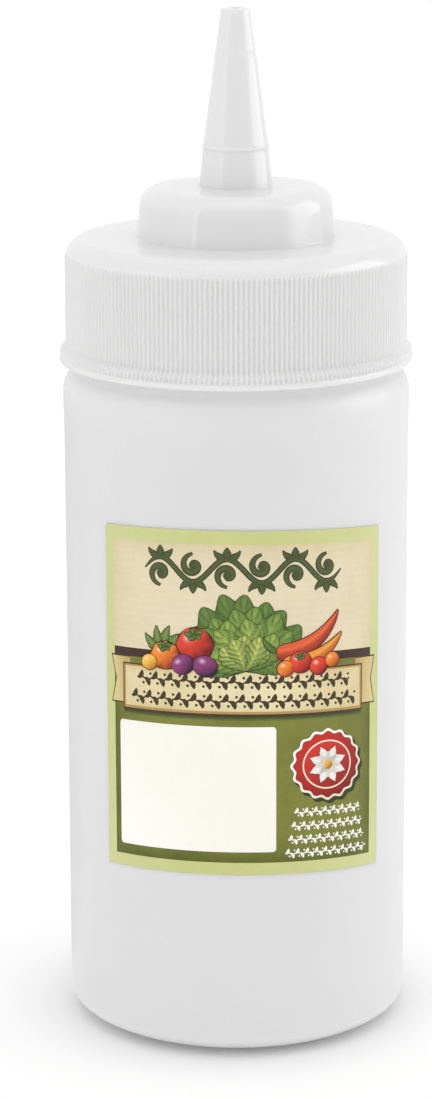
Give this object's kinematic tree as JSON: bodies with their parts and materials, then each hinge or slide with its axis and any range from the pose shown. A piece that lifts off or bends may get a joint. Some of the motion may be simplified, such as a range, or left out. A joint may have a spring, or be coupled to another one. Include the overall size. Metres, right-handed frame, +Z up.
{
  "type": "squeeze sauce bottle",
  "caption": "Round white squeeze bottle with a ribbed screw cap, a stepped boss, an open cone spout and a wrap label on the front.",
  "frame": {"origin": "centre of the bottle's foot, on the plane that it stands on", "axes": "+Z up along the bottle's axis towards the spout's tip; the label faces -Y"},
  "size_m": [0.0694, 0.0694, 0.2022],
  "materials": {
    "bottle_polyethylene": "satin",
    "cap_polyethylene": "gloss",
    "seal_foam": "matte",
    "label_paper": "satin"
  },
  "bodies": {
    "bottle": {"bottle": "bottle_polyethylene", "label": "label_paper"},
    "seal": {"cap_seal": "seal_foam"},
    "cap": {"cap": "cap_polyethylene"}
  },
  "joints": [
    {"name": "cap_lift", "type": "slide", "parent": "bottle", "child": "seal", "axis": [0, 0, 1], "range_m": [0, 0.00526]},
    {"name": "cap_turn", "type": "hinge", "parent": "seal", "child": "cap", "pos_m": [0, 0, 0.158], "axis": [0, 0, 1], "range_deg": [0, 450]}
  ],
  "couplings": [
    {"joint": "cap_lift", "follows": "cap_turn", "m_per_rad": 0.00066845}
  ]
}
